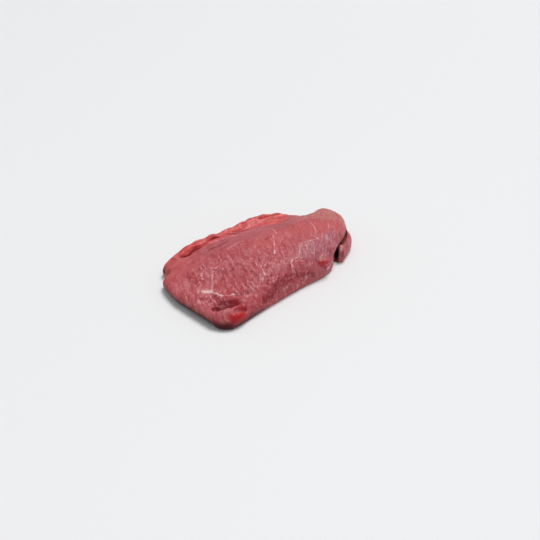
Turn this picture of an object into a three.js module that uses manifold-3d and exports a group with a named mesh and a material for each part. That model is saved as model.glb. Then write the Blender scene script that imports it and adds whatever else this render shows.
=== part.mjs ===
import * as THREE from "three";
import { mergeVertices } from "three/addons/utils/BufferGeometryUtils.js";
import Module from "manifold-3d";

// Raw beef top blade: one thick piece of muscle lying on its flat side, in millimetres with +Z up.
// +X points to the round thick lobe, -X to the thin end, and -Y to the straight long side.
// A span [from, to] is where a change of form begins and where it is complete.

// upper face
const middleHeight = 21;
const thinEnd = { x: [-20, -96], drop: 11.5 };
const tornSide = { y: [10, 55], x: [90, 50], drop: 3.5 };
const lobe = { at: [79, 4], size: [16, 15], rise: 1.6 };
const nearCorner = { at: [-77, -47], size: [10, 5], turn: -10, rise: 1.5 };
const longRipple = { wave: 36, height: 0.6, seed: 0.3 };
const shortRipple = { wave: 13, height: 0.22, seed: 0.7 };
const rim = { y: [10, 30], thinEndX: [-72, -52], lobeX: [60, 42], depthIn: 9, halfWidth: 6, swell: 1.2 };
const rimRagged = { wave: 8, height: 0.7, seed: 1.7, stretch: 0.55 };

// section of the side wall: widest at the belly line, rounded over above it and drawn in below it
const edgeRound = 14;
const bellyHeight = 3;
const bellyDrawIn = 4;
const roundedPastFloor = 1;
const leastAboveBelly = 1;
const frontShoulder = { y: [-10, -30], thinEndX: [-70, -40], lobeX: [60, 20], moreRound: 4 };
const thinEndWall = { x: [-55, -80], lessRound: 4 };
const tornWall = { y: [14, 36], lessRound: 8 };
const lobeWall = { x: [60, 80], lessRound: 3 };
const farTip = { at: [-66, 48], size: [9, 9], lift: 1.5 };
const curledEnd = { x: [-66, -82], nearY: [-46, -36], farY: [30, 16], lift: 3, drawIn: 5, lessRound: 3 };

// loose flap beside the lobe, the lip that hangs over it, and the crevice between the two
const flapPoints = [[80, -14], [74, -23.5], [69.3, -29], [63, -33.5], [55.8, -37], [49, -39.5], [43.5, -42]];
const flap = { height: 10.5, halfWidth: 5.4, squareness: 2.6, thinning: 0.8, falling: 1, firmness: 4 };
const lip = { reach: [20, 6], lift: 6.5, drawIn: 1.5 };
const crevicePoints = [[31, -47], [38, -42.5], [45, -39.5], [53, -36.5], [61, -33.5], [69, -29], [76, -24]];
const crevice = { halfWidth: 2.1, thinning: 1.6, along: [0.1, 0.45], firmness: 2 };
const creviceStart = { midHeight: 6, halfHeight: 6.2 };
const creviceEnd = { midHeight: 9.8, halfHeight: 3 };

// sampling of the form
const cell = 2.4;
const settlePasses = 2;
const slopeStep = 0.15;
const settleReach = 0.3 * cell;
const settleEase = 0.02;
const floorSnap = 0.45;
const justOutside = 0.05;
const gridLow = [-98.4, -60, -2.1];
const gridHigh = [98.4, 60, 27];
const samplesPerSpan = { outline: 10, flap: 8, furrow: 6, strand: 5 };
const floorBlock = [400, 300, 20];

// widest line of the piece seen from above, starting at the near left corner
const outlinePoints = [
  [-85.5, -49.5], [-78, -51.5], [-50, -50], [-10, -49.5], [11, -51], [26, -48.5], [38, -43],
  [51, -37.5], [61, -33.5], [75, -25.5], [88, -12], [91, 0], [86.8, 9.5], [78, 15.2], [68, 14.5],
  [61.5, 22], [51, 30.5], [39, 38], [21, 43.5], [-14, 41.5], [-38, 46.5], [-61, 46.3], [-72, 41.8],
  [-74, 34.5], [-75, 29.5], [-84, 25], [-90, 5], [-91, -8], [-91, -25], [-90.5, -42],
];

// splits between bundles: a groove of depth and half width along each line, with a lip on its left
const furrows = [
  { points: [[-61, 36], [-54, 33], [-46, 33.5], [-35, 32]], depth: 3.2, width: 1.6, lip: 0.7 },
  { points: [[-35, 36], [-28, 32.5], [-21, 30]], depth: 1.6, width: 1.3, lip: 0.3 },
  { points: [[-44, 22], [-34, 20.5], [-24, 17]], depth: 1.3, width: 1.3, lip: 0.5 },
  { points: [[-18, 29], [-6, 27.5], [4, 27]], depth: 1.2, width: 1.6, lip: 0.2 },
  { points: [[6, 36], [20, 33.5], [34, 25]], depth: 1, width: 1.8, lip: 0.3 },
  {
    points: [[-67, -46], [-72, -43], [-78, -40], [-82.5, -38], [-87, -34]],
    depth: 1.8,
    width: 1.9,
    lip: 0.2,
  },
  { points: [[-69, -41.5], [-74, -38.5], [-78, -35], [-81, -31]], depth: 1.1, width: 3.2, lip: 0 },
  {
    points: [[-52, -46.5], [-38, -46], [-24, -45], [-10, -46], [4, -47.5]],
    depth: 1.5,
    width: 2.4,
    lip: 0,
  },
];
const furrowEndWidth = 0.35;
const furrowSteepness = 1.5;
const lipPlace = 2.2;
const lipHalfWidth = 1.3;

// shallow pockets along the near shoulder and one at the far tip: centre, half sizes, turn in degrees, depth
const pockets = [
  { at: [-74.5, -47], size: [5, 2], turn: -12, depth: 1.2 },
  { at: [-61, -38], size: [6, 2.6], turn: -30, depth: 0.8 },
  { at: [-27, -44], size: [7, 2.6], turn: 3, depth: 1.4 },
  { at: [-14, -45], size: [4, 2.2], turn: -12, depth: 1.6 },
  { at: [9, -46], size: [5, 2], turn: 8, depth: 1.8 },
  { at: [-73.5, 38], size: [2, 2], turn: 0, depth: 2.5 },
];

// torn bundles lying more than half sunk along the far rim: centre line seen from above and half thickness
const strands = [
  { points: [[-62, 39.5], [-52, 40], [-42, 40.5], [-32, 39], [-22, 37]], thick: 1.9 },
  { points: [[-46, 28.5], [-38, 29], [-30, 29], [-22, 27.5]], thick: 1.7 },
  { points: [[-26, 33.5], [-18, 33.5], [-10, 33]], thick: 1.4 },
  { points: [[-26, 38.5], [-16, 38.5], [-6, 37.5], [6, 37.5], [14, 37]], thick: 1.8 },
  { points: [[-8, 31.5], [0, 31], [7, 30.5]], thick: 1.5 },
  { points: [[9, 32], [16, 30], [24, 28], [31, 24]], thick: 1.7 },
  { points: [[6, 40], [16, 40.5], [27, 38], [37, 33]], thick: 2 },
  { points: [[34, 30], [42, 26], [48, 21]], thick: 1.5 },
];

// knobs that stand out of the near side and the flap: centre line with its height, and half thickness
const knobs = [
  { points: [[-80.5, -47.3, 6.8], [-76.5, -48.6, 6.5], [-72.5, -49.2, 6]], thick: 3 },
  { points: [[11.5, -47.3, 12.6], [16, -48.2, 11.6], [21, -47.8, 10.4]], thick: 2.6 },
  { points: [[44.5, -42.4, 8], [47.5, -40.6, 8.6], [50.5, -38, 8.6]], thick: 2.6 },
];
const strandEndThickness = 0.55;
const strandMelt = 1.6;
const strandSink = 0.3;

const outline = smoothLine(outlinePoints, true, samplesPerSpan.outline);
const flapLine = smoothLine(flapPoints, false, samplesPerSpan.flap);
const creviceLine = smoothLine(crevicePoints, false, samplesPerSpan.flap);
for (const furrow of furrows) {
  furrow.line = smoothLine(furrow.points, false, samplesPerSpan.furrow);
}
const bundles = [...strands.map(layOnSkin), ...knobs].map(makeBundle);

function smoothLine(points, closed, samples) {
  const places = points.map(([x, y, z = 0]) => new THREE.Vector3(x, y, z));
  const curve = new THREE.CatmullRomCurve3(places, closed, "catmullrom", 0.5);
  const spans = closed ? points.length : points.length - 1;
  return curve.getPoints(spans * samples);
}

// 0 at the start of a span, 1 at its end and beyond it, eased between
function ramp([from, to], value) {
  const t = THREE.MathUtils.clamp((value - from) / (to - from), 0, 1);
  return t * t * (3 - 2 * t);
}

// bell of height 1 with half sizes along and across its turned axis
function bell(x, y, { at: [centreX, centreY], size: [along, across], turn = 0 }) {
  const angle = THREE.MathUtils.degToRad(turn);
  const u = (x - centreX) * Math.cos(angle) + (y - centreY) * Math.sin(angle);
  const v = (y - centreY) * Math.cos(angle) - (x - centreX) * Math.sin(angle);
  return Math.exp(-((u / along) ** 2) - (v / across) ** 2);
}

// sum of plane waves in spread directions and lengths, about -1 to 1
function ripple(x, y, { wave, seed }) {
  const waves = 7;
  const goldenAngle = Math.PI * (3 - Math.sqrt(5));
  const goldenShare = 0.618;
  const phaseStep = 2.4;
  const seedPhase = 5;
  const usualPeak = 1.6 * Math.sqrt(waves / 2);
  let total = 0;
  for (let i = 0; i < waves; i++) {
    const angle = goldenAngle * (i + 1) + seed;
    const length = wave * (0.75 + 0.5 * ((i * goldenShare + seed) % 1));
    const travel = x * Math.cos(angle) + y * Math.sin(angle);
    total += Math.sin((2 * Math.PI * travel) / length + phaseStep * i + seedPhase * seed);
  }
  return total / usualPeak;
}

// nearest point of a line: its distance, its place along the line from 0 to 1, and the side it is seen from
function nearest(line, x, y) {
  let best = { distance: Infinity, along: 0, left: false };
  let travelled = 0;
  for (let i = 0; i + 1 < line.length; i++) {
    const [a, b] = [line[i], line[i + 1]];
    const [runX, runY] = [b.x - a.x, b.y - a.y];
    const length = Math.hypot(runX, runY);
    const t = THREE.MathUtils.clamp(((x - a.x) * runX + (y - a.y) * runY) / length ** 2, 0, 1);
    const distance = Math.hypot(x - a.x - t * runX, y - a.y - t * runY);
    if (distance < best.distance) {
      const left = runX * (y - a.y) - runY * (x - a.x) > 0;
      best = { distance, along: travelled + t * length, left };
    }
    travelled += length;
  }
  best.along /= travelled;
  return best;
}

function isInside(line, x, y) {
  let inside = false;
  for (let i = 0; i + 1 < line.length; i++) {
    const [a, b] = [line[i], line[i + 1]];
    if (a.y > y !== b.y > y && x < ((b.x - a.x) * (y - a.y)) / (b.y - a.y) + a.x) inside = !inside;
  }
  return inside;
}

// depth of a furrow less its lip; both taper to nothing at the two ends
function furrowCut(x, y, { line, depth, width, lip: lipHeight }) {
  const { distance, along, left } = nearest(line, x, y);
  const taper = taperAt(along);
  const halfWidth = width * (furrowEndWidth + (1 - furrowEndWidth) * taper);
  const groove = depth * taper * Math.exp(-((distance / halfWidth) ** furrowSteepness));
  const crest = (distance - lipPlace * halfWidth) / (lipHalfWidth * halfWidth);
  return left ? groove - lipHeight * taper * Math.exp(-(crest ** 2)) : groove;
}

// 0 at both ends of a line, 1 at its middle
function taperAt(along) {
  return Math.sqrt(4 * along * (1 - along));
}

function topHeight(x, y, depthIn) {
  let height = middleHeight;
  height -= thinEnd.drop * ramp(thinEnd.x, x);
  height -= tornSide.drop * ramp(tornSide.y, y) * ramp(tornSide.x, x);
  height += lobe.rise * bell(x, y, lobe);
  height += nearCorner.rise * bell(x, y, nearCorner);
  height += longRipple.height * ripple(x, y, longRipple);
  height += shortRipple.height * ripple(x, y, shortRipple);
  // swollen, ragged strip along the torn long side
  const alongRim = ramp(rim.y, y) * ramp(rim.thinEndX, x) * ramp(rim.lobeX, x);
  const strip = alongRim * Math.exp(-(((depthIn - rim.depthIn) / rim.halfWidth) ** 2));
  height += strip * (rim.swell + rimRagged.height * ripple(x * rimRagged.stretch, y, rimRagged));
  for (const furrow of furrows) height -= furrowCut(x, y, furrow);
  for (const pocket of pockets) height -= pocket.depth * bell(x, y, pocket);
  return height;
}

// everything about the form that depends only on the place seen from above
function columnAt(x, y) {
  const fromOutline = nearest(outline, x, y).distance;
  const depthIn = isInside(outline, x, y) ? fromOutline : -fromOutline;
  const shoulder = ramp(frontShoulder.y, y) * ramp(frontShoulder.thinEndX, x) * ramp(frontShoulder.lobeX, x);
  const curl = ramp(curledEnd.x, x) * ramp(curledEnd.nearY, y) * ramp(curledEnd.farY, y);
  const toFlap = nearest(flapLine, x, y);
  const overFlap = ramp(lip.reach, toFlap.distance);
  const toCrevice = nearest(creviceLine, x, y);
  const creviceUp = ramp(crevice.along, toCrevice.along);
  const lessRound = thinEndWall.lessRound * ramp(thinEndWall.x, x) + curledEnd.lessRound * curl
    + tornWall.lessRound * ramp(tornWall.y, y) + lobeWall.lessRound * ramp(lobeWall.x, x);
  return {
    x,
    y,
    depthIn,
    top: topHeight(x, y, depthIn),
    round: edgeRound + frontShoulder.moreRound * shoulder - lessRound,
    belly: bellyHeight + lip.lift * overFlap + farTip.lift * bell(x, y, farTip) + curledEnd.lift * curl,
    drawIn: bellyDrawIn + lip.drawIn * overFlap + curledEnd.drawIn * curl,
    flapAcross: toFlap.distance / (flap.halfWidth - flap.thinning * toFlap.along),
    flapTop: flap.height - flap.falling * toFlap.along,
    creviceAcross: toCrevice.distance / (crevice.halfWidth - crevice.thinning * toCrevice.along),
    creviceMid: THREE.MathUtils.lerp(creviceStart.midHeight, creviceEnd.midHeight, creviceUp),
    creviceHalf: THREE.MathUtils.lerp(creviceStart.halfHeight, creviceEnd.halfHeight, creviceUp),
  };
}

// height of the upper skin over a place
function skinHeight(x, y) {
  const { depthIn, top, round, belly } = columnAt(x, y);
  const fromEdge = THREE.MathUtils.clamp((round - depthIn) / round, 0, 1);
  return belly + Math.max(top - belly, leastAboveBelly) * Math.sqrt(1 - fromEdge ** 2);
}

function layOnSkin({ points, thick }) {
  const places = smoothLine(points, false, samplesPerSpan.strand);
  return { points: places.map(({ x, y }) => [x, y, skinHeight(x, y) - strandSink * thick]), thick };
}

function makeBundle({ points, thick }) {
  const line = points.map(([x, y, z]) => new THREE.Vector3(x, y, z));
  const bounds = new THREE.Box3().setFromPoints(line).expandByScalar(thick + 2 * strandMelt);
  return { line, thick, bounds };
}

// above 0 inside a bundle, whose thickness tapers to its ends
function bundleField(point, { line, thick }) {
  let best = -Infinity;
  for (let i = 0; i + 1 < line.length; i++) {
    const step = line[i + 1].clone().sub(line[i]);
    const t = THREE.MathUtils.clamp(point.clone().sub(line[i]).dot(step) / step.lengthSq(), 0, 1);
    const taper = taperAt((i + t) / (line.length - 1));
    const radius = thick * (strandEndThickness + (1 - strandEndThickness) * taper);
    best = Math.max(best, radius - point.distanceTo(step.multiplyScalar(t).add(line[i])));
  }
  return best;
}

// above 0 inside the piece at height z of a column, 0 on its skin
function fieldAt(column, z) {
  let field = Math.min(Math.max(slabField(column, z), flapField(column, z)), -creviceField(column, z));
  const point = new THREE.Vector3(column.x, column.y, z);
  for (const bundle of bundles) {
    if (bundle.bounds.containsPoint(point)) field = melt(field, bundleField(point, bundle));
  }
  return field;
}

// the larger of two, rounded off where they are close
function melt(a, b) {
  return Math.max(a, b) + Math.max(strandMelt - Math.abs(a - b), 0) ** 2 / (4 * strandMelt);
}

function slabField({ depthIn, top, round, belly, drawIn }, z) {
  const isUpper = z > belly;
  const tall = isUpper ? Math.max(top - belly, leastAboveBelly) : belly + roundedPastFloor;
  const reach = isUpper ? round : drawIn;
  const fromEdge = Math.max(reach - depthIn, 0) / reach;
  return (1 - Math.hypot(fromEdge, (z - belly) / tall)) * tall;
}

function flapField({ flapAcross, flapTop }, z) {
  const halfHeight = (flapTop + roundedPastFloor) / 2;
  const up = Math.abs((z + roundedPastFloor) / halfHeight - 1);
  const reach = (flapAcross ** flap.squareness + up ** flap.squareness) ** (1 / flap.squareness);
  return (1 - reach) * flap.firmness;
}

function creviceField({ creviceAcross, creviceMid, creviceHalf }, z) {
  return (1 - Math.hypot(creviceAcross, (z - creviceMid) / creviceHalf)) * crevice.firmness;
}

function sampleGrid() {
  const counts = gridLow.map((low, axis) => Math.round((gridHigh[axis] - low) / cell) + 1);
  const [countX, countY, countZ] = counts;
  const place = (axis, index) => gridLow[axis] + index * cell;
  const index = (i, j, k) => (i * countY + j) * countZ + k;
  const values = new Float64Array(countX * countY * countZ);
  for (let i = 0; i < countX; i++) {
    for (let j = 0; j < countY; j++) {
      const column = columnAt(place(0, i), place(1, j));
      for (let k = 0; k < countZ; k++) values[index(i, j, k)] = fieldAt(column, place(2, k));
    }
  }
  const grid = { counts, place, index, values, value: (i, j, k) => values[index(i, j, k)] };
  while (openPinches(grid)) continue;
  return grid;
}

// Where the four corners of a grid square alternate between in and out the skin would touch itself
// along an edge, so the inner corner nearest the skin is put outside. Returns whether any was.
function openPinches({ counts, index, values }) {
  const [countX, countY, countZ] = counts;
  const squares = [[[1, 0, 0], [0, 1, 0]], [[0, 1, 0], [0, 0, 1]], [[0, 0, 1], [1, 0, 0]]];
  let opened = false;
  for (let i = 0; i < countX - 1; i++) {
    for (let j = 0; j < countY - 1; j++) {
      for (let k = 0; k < countZ - 1; k++) {
        for (const [u, v] of squares) {
          const start = index(i, j, k);
          const [stepU, stepV] = [index(...u), index(...v)];
          const square = [start, start + stepU, start + stepU + stepV, start + stepV];
          const [a, b, c, d] = square.map((n) => values[n] > 0);
          if (a !== c || b !== d || a === b) continue;
          const inner = square.filter((n) => values[n] > 0);
          inner.sort((m, n) => values[m] - values[n]);
          values[inner[0]] = -justOutside;
          opened = true;
        }
      }
    }
  }
  return opened;
}

// one corner for each grid cell that the skin passes through: the mean of its crossings with the cell's edges
function cornerOf([i, j, k], { place, value }) {
  const sum = new THREE.Vector3();
  let crossings = 0;
  for (let axis = 0; axis < 3; axis++) {
    for (const [a, b] of [[0, 0], [0, 1], [1, 0], [1, 1]]) {
      const start = [i, j, k];
      start[(axis + 1) % 3] += a;
      start[(axis + 2) % 3] += b;
      const end = [...start];
      end[axis] += 1;
      const [from, to] = [value(...start), value(...end)];
      if (from > 0 === to > 0) continue;
      const point = start.map((index, n) => place(n, index));
      point[axis] += (cell * from) / (from - to);
      sum.add(new THREE.Vector3(...point));
      crossings += 1;
    }
  }
  return crossings ? sum.divideScalar(crossings) : null;
}

// moves a corner onto the skin along the field's slope, and onto the floor where it lies close to it
function settle(corner) {
  const at = (x, y, z) => fieldAt(columnAt(x, y), z);
  const start = corner.clone();
  for (let pass = 0; pass < settlePasses; pass++) {
    const { x, y, z } = corner;
    const slope = new THREE.Vector3(
      at(x + slopeStep, y, z) - at(x - slopeStep, y, z),
      at(x, y + slopeStep, z) - at(x, y - slopeStep, z),
      at(x, y, z + slopeStep) - at(x, y, z - slopeStep),
    ).divideScalar(2 * slopeStep);
    corner.addScaledVector(slope, -at(x, y, z) / (slope.lengthSq() + settleEase));
    corner.sub(start).clampLength(0, settleReach).add(start);
  }
  if (Math.abs(corner.z) < floorSnap) corner.z = 0;
}

// closed surface with one four-sided face across each grid edge that passes through the skin
function skinOfForm() {
  const grid = sampleGrid();
  const [countX, countY, countZ] = grid.counts;
  const corners = [];
  const cornerIndex = new Map();
  for (let i = 0; i < countX - 1; i++) {
    for (let j = 0; j < countY - 1; j++) {
      for (let k = 0; k < countZ - 1; k++) {
        const corner = cornerOf([i, j, k], grid);
        if (!corner) continue;
        settle(corner);
        cornerIndex.set(grid.index(i, j, k), corners.length);
        corners.push(corner);
      }
    }
  }
  const triangles = [];
  for (let axis = 0; axis < 3; axis++) {
    const [side, up] = [(axis + 1) % 3, (axis + 2) % 3];
    forEachEdge(grid, axis, (start, leavesPiece) => {
      const around = [[-1, -1], [0, -1], [0, 0], [-1, 0]].map(([a, b]) => {
        const home = [...start];
        home[side] += a;
        home[up] += b;
        return cornerIndex.get(grid.index(...home));
      });
      if (!leavesPiece) around.reverse();
      addFace(triangles, corners, around);
    });
  }
  return { corners, triangles };
}

function forEachEdge({ counts, value }, axis, visit) {
  const [lastX, lastY, lastZ] = counts.map((count, n) => (n === axis ? count - 1 : count));
  for (let i = 0; i < lastX; i++) {
    for (let j = 0; j < lastY; j++) {
      for (let k = 0; k < lastZ; k++) {
        const end = [i, j, k];
        end[axis] += 1;
        const [from, to] = [value(i, j, k) > 0, value(...end) > 0];
        if (from !== to) visit([i, j, k], from);
      }
    }
  }
}

// two triangles, split along the shorter diagonal
function addFace(triangles, corners, [a, b, c, d]) {
  const splitAC = corners[a].distanceTo(corners[c]) <= corners[b].distanceTo(corners[d]);
  if (splitAC) triangles.push(a, b, c, a, c, d);
  else triangles.push(a, b, d, b, c, d);
}

const wasm = await Module();
wasm.setup();

function solidOf(positions, triangles) {
  const vertProperties = new Float32Array(positions);
  const triVerts = new Uint32Array(triangles);
  return new wasm.Manifold(new wasm.Mesh({ numProp: 3, vertProperties, triVerts }));
}

function solidOfGeometry(geometry) {
  geometry.deleteAttribute("normal");
  geometry.deleteAttribute("uv");
  const merged = mergeVertices(geometry);
  return solidOf(merged.attributes.position.array, merged.index.array);
}

// the piece settles flat where it rests, so the rounded form is cut off level at the bottom
function makeSteakGeometry() {
  const { corners, triangles } = skinOfForm();
  const form = solidOf(corners.flatMap((corner) => corner.toArray()), triangles);
  const block = new THREE.BoxGeometry(...floorBlock).translate(0, 0, -floorBlock[2] / 2);
  const { vertProperties, triVerts } = form.subtract(solidOfGeometry(block)).getMesh();
  const geometry = new THREE.BufferGeometry();
  geometry.setAttribute("position", new THREE.BufferAttribute(vertProperties, 3));
  geometry.setIndex(new THREE.BufferAttribute(triVerts, 1));
  centreOverOrigin(geometry);
  geometry.computeVertexNormals();
  return geometry;
}

function centreOverOrigin(geometry) {
  geometry.computeBoundingBox();
  const middle = geometry.boundingBox.getCenter(new THREE.Vector3());
  geometry.translate(-middle.x, -middle.y, 0);
}

const rawBeef = new THREE.MeshStandardMaterial({ color: 0xad5d62, roughness: 0.45, metalness: 0 });
const steak = new THREE.Mesh(makeSteakGeometry(), rawBeef);
steak.name = "beef_top_blade";

const part = new THREE.Group();
part.add(steak);

export default part;
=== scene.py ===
import math
from collections import namedtuple
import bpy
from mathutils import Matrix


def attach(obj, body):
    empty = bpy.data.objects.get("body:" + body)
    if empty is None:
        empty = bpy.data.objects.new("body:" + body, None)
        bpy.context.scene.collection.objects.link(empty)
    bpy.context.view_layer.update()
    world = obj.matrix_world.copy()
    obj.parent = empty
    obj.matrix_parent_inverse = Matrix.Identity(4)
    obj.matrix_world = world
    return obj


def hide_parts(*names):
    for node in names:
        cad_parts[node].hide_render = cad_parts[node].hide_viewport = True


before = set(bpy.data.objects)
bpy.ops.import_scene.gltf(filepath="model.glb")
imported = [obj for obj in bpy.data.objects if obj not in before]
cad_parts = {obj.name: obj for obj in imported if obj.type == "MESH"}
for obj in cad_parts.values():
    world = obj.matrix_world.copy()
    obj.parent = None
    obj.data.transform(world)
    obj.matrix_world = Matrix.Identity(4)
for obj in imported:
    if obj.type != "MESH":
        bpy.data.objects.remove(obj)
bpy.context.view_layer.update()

from types import SimpleNamespace

import bpy
import numpy as np
from mathutils import Vector

# The piece's form, the same as the solid's but sampled finer.
# A span (from, to) is where a change of form begins and where it is complete.
form = {
    # upper face
    "middleHeight": 21,
    "thinEnd": {"x": (-20, -96), "drop": 11.5},
    "tornSide": {"y": (10, 55), "x": (90, 50), "drop": 3.5},
    "lobe": {"at": (79, 4), "size": (16, 15), "rise": 1.6},
    "nearCorner": {"at": (-77, -47), "size": (10, 5), "turn": -10, "rise": 1.5},
    "longRipple": {"wave": 36, "seed": 0.3, "height": 0.6},
    "shortRipple": {"wave": 13, "seed": 0.7, "height": 0.22},
    # swollen, ragged strip along the torn long side
    "rim": {"y": (10, 30), "thinEndX": (-72, -52), "lobeX": (60, 42),
            "depthIn": 9, "halfWidth": 6, "swell": 1.2},
    "rimRagged": {"wave": 8, "seed": 1.7, "stretch": 0.55, "height": 0.7},
    # side wall: widest at the belly line, rounded over above it and drawn in below it
    "edgeRound": 14, "bellyHeight": 3, "bellyDrawIn": 4, "leastAboveBelly": 1, "roundedPastFloor": 1,
    "frontShoulder": {"y": (-10, -30), "thinEndX": (-70, -40), "lobeX": (60, 20), "moreRound": 4},
    "thinEndWall": {"x": (-55, -80), "lessRound": 4},
    "tornWall": {"y": (14, 36), "lessRound": 8},
    "lobeWall": {"x": (60, 80), "lessRound": 3},
    "farTip": {"at": (-66, 48), "size": (9, 9), "lift": 1.5},
    "curledEnd": {"x": (-66, -82), "nearY": (-46, -36), "farY": (30, 16),
                  "lift": 3, "drawIn": 5, "lessRound": 3},
    # loose flap, the lip that hangs over it, and the crevice between the two
    "flap": {"height": 10.5, "halfWidth": 5.4, "thinning": 0.8, "falling": 1,
             "squareness": 2.6, "firmness": 4},
    "lip": {"reach": (20, 6), "lift": 6.5, "drawIn": 1.5},
    "crevice": {"halfWidth": 2.1, "thinning": 1.6, "along": (0.1, 0.45), "firmness": 2,
                "midHeight": 6, "rise": 3.8, "halfHeight": 6.2, "flattening": 3.2},
    # sampling
    "cell": 0.7, "gridLow": (-96, -58, -2), "gridHigh": (96, 60, 27),
    "settlePasses": 3, "slopeStep": 0.15, "settleEase": 0.02, "settleReach": 0.5,
    "hipBlur": 3, "hipDepth": (0, 5),
}
samplesPerSpan = {"outline": 10, "flap": 8, "furrow": 6, "edge": 6, "vein": 6, "strand": 5, "mark": 4}

# widest line seen from above, from the near left corner along the front
outlinePoints = [
    (-85.5, -49.5), (-78, -51.5), (-50, -50), (-10, -49.5), (11, -51), (26, -48.5), (38, -43),
    (51, -37.5), (61, -33.5), (75, -25.5), (88, -12), (91, 0), (86.8, 9.5), (78, 15.2), (68, 14.5),
    (61.5, 22), (51, 30.5), (39, 38), (21, 43.5), (-14, 41.5), (-38, 46.5), (-61, 46.3), (-72, 41.8),
    (-74, 34.5), (-75, 29.5), (-84, 25), (-90, 5), (-91, -8), (-91, -25), (-90.5, -42),
]
flapPoints = [(80, -14), (74, -23.5), (69.3, -29), (63, -33.5), (55.8, -37), (49, -39.5), (43.5, -42)]
crevicePoints = [(31, -47), (38, -42.5), (45, -39.5), (53, -36.5), (61, -33.5), (69, -29), (76, -24)]

# splits between bundles: a groove with a lip on its left, and the painted shade that it takes
furrows = [
    {"points": [(-61, 36), (-54, 33), (-46, 33.5), (-35, 32)],
     "depth": 3.2, "width": 1.6, "lip": 0.7, "look": "farCut"},
    {"points": [(-35, 36), (-28, 32.5), (-21, 30)], "depth": 1.6, "width": 1.3, "lip": 0.3, "look": "farCut"},
    {"points": [(-44, 22), (-34, 20.5), (-24, 17)], "depth": 1.3, "width": 1.3, "lip": 0.5, "look": "farCut"},
    {"points": [(-18, 29), (-6, 27.5), (4, 27)], "depth": 1.2, "width": 1.6, "lip": 0.2, "look": "farCut"},
    {"points": [(6, 36), (20, 33.5), (34, 25)], "depth": 1, "width": 1.8, "lip": 0.3},
    {"points": [(-67, -46), (-72, -43), (-78, -40), (-82.5, -38), (-87, -34)],
     "depth": 1.8, "width": 1.9, "lip": 0.2, "look": "pocket"},
    {"points": [(-69, -41.5), (-74, -38.5), (-78, -35), (-81, -31)],
     "depth": 1.1, "width": 3.2, "lip": 0},
    {"points": [(-52, -46.5), (-38, -46), (-24, -45), (-10, -46), (4, -47.5)],
     "depth": 1.5, "width": 2.4, "lip": 0},
]
furrowShape = {"endWidth": 0.35, "steepness": 1.5, "lipPlace": 2.2, "lipHalfWidth": 1.3}

# shallow pockets along the near shoulder and one at the far tip
pockets = [
    {"at": (-74.5, -47), "size": (5, 2), "turn": -12, "depth": 1.2},
    {"at": (-27, -44), "size": (7, 2.6), "turn": 3, "depth": 1.4},
    {"at": (-14, -45), "size": (4, 2.2), "turn": -12, "depth": 1.6},
    {"at": (-61, -38), "size": (6, 2.6), "turn": -30, "depth": 0.8},
    {"at": (9, -46), "size": (5, 2), "turn": 8, "depth": 1.8},
    {"at": (-73.5, 38), "size": (2, 2), "depth": 2.5},
]

# torn bundles lying along the far rim: centre line seen from above, half thickness
strands = [
    ([(-62, 39.5), (-52, 40), (-42, 40.5), (-32, 39), (-22, 37)], 1.9),
    ([(-46, 28.5), (-38, 29), (-30, 29), (-22, 27.5)], 1.7),
    ([(-26, 33.5), (-18, 33.5), (-10, 33)], 1.4),
    ([(-26, 38.5), (-16, 38.5), (-6, 37.5), (6, 37.5), (14, 37)], 1.8),
    ([(-8, 31.5), (0, 31), (7, 30.5)], 1.5),
    ([(9, 32), (16, 30), (24, 28), (31, 24)], 1.7),
    ([(6, 40), (16, 40.5), (27, 38), (37, 33)], 2),
    ([(34, 30), (42, 26), (48, 21)], 1.5),
]
# knobs that stand out of the near side and the flap: centre line with its height, half thickness
knobs = [
    ([(-80.5, -47.3, 6.8), (-76.5, -48.6, 6.5), (-72.5, -49.2, 6)], 3),
    ([(11.5, -47.3, 12.6), (16, -48.2, 11.6), (21, -47.8, 10.4)], 2.6),
    ([(44.5, -42.4, 8), (47.5, -40.6, 8.6), (50.5, -38, 8.6)], 2.6),
]
# how far a strand melts into the meat, and the share of its half thickness that it lies below the skin
strandShape = {"endThickness": 0.55, "melt": 1.6, "sink": 0.3}

Near = namedtuple("Near", "distance along offset")


def ramp(span, value):   # 0 at the span's start, 1 at its end and past it
    start, end = span
    t = np.clip((value - start) / (end - start), 0, 1)
    return t * t * (3 - 2 * t)


def bell(x, y, patch):   # 1 at the patch's centre, falling off over its half sizes
    turn = math.radians(patch.get("turn", 0))
    fromX, fromY = x - patch["at"][0], y - patch["at"][1]
    u = fromX * math.cos(turn) + fromY * math.sin(turn)
    v = fromY * math.cos(turn) - fromX * math.sin(turn)
    return np.exp(-(u / patch["size"][0])**2 - (v / patch["size"][1])**2)


def ripple(x, y, kind):   # sum of plane waves in spread directions, about -1 to 1
    waves = 7
    goldenAngle, goldenShare = math.pi * (3 - math.sqrt(5)), 0.618
    phaseStep, seedPhase = 2.4, 5
    usualPeak = 1.6 * math.sqrt(waves / 2)
    total = 0
    for i in range(waves):
        angle = goldenAngle * (i + 1) + kind["seed"]
        length = kind["wave"] * (0.75 + 0.5 * ((i * goldenShare + kind["seed"]) % 1))
        travel = x * math.cos(angle) + y * math.sin(angle)
        total = total + np.sin(2 * math.pi * travel / length + phaseStep * i + seedPhase * kind["seed"])
    return total / usualPeak


def smoothLine(points, closed, samples):   # Catmull-Rom through the points
    p = [np.array(point, float) for point in points]
    if closed:
        p = [p[-1]] + p + p[:2]
    else:
        p = [2 * p[0] - p[1]] + p + [2 * p[-1] - p[-2]]
    line = []
    for a, b, c, d in zip(p, p[1:], p[2:], p[3:]):
        for t in np.arange(samples) / samples:
            line.append(0.5 * (2 * b + (c - a) * t + (2 * a - 5 * b + 4 * c - d) * t**2
                               + (3 * b - a - 3 * c + d) * t**3))
    return np.array(line + [p[-2]])


def openLine(points, kind):
    return smoothLine(points, False, samplesPerSpan[kind])


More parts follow.
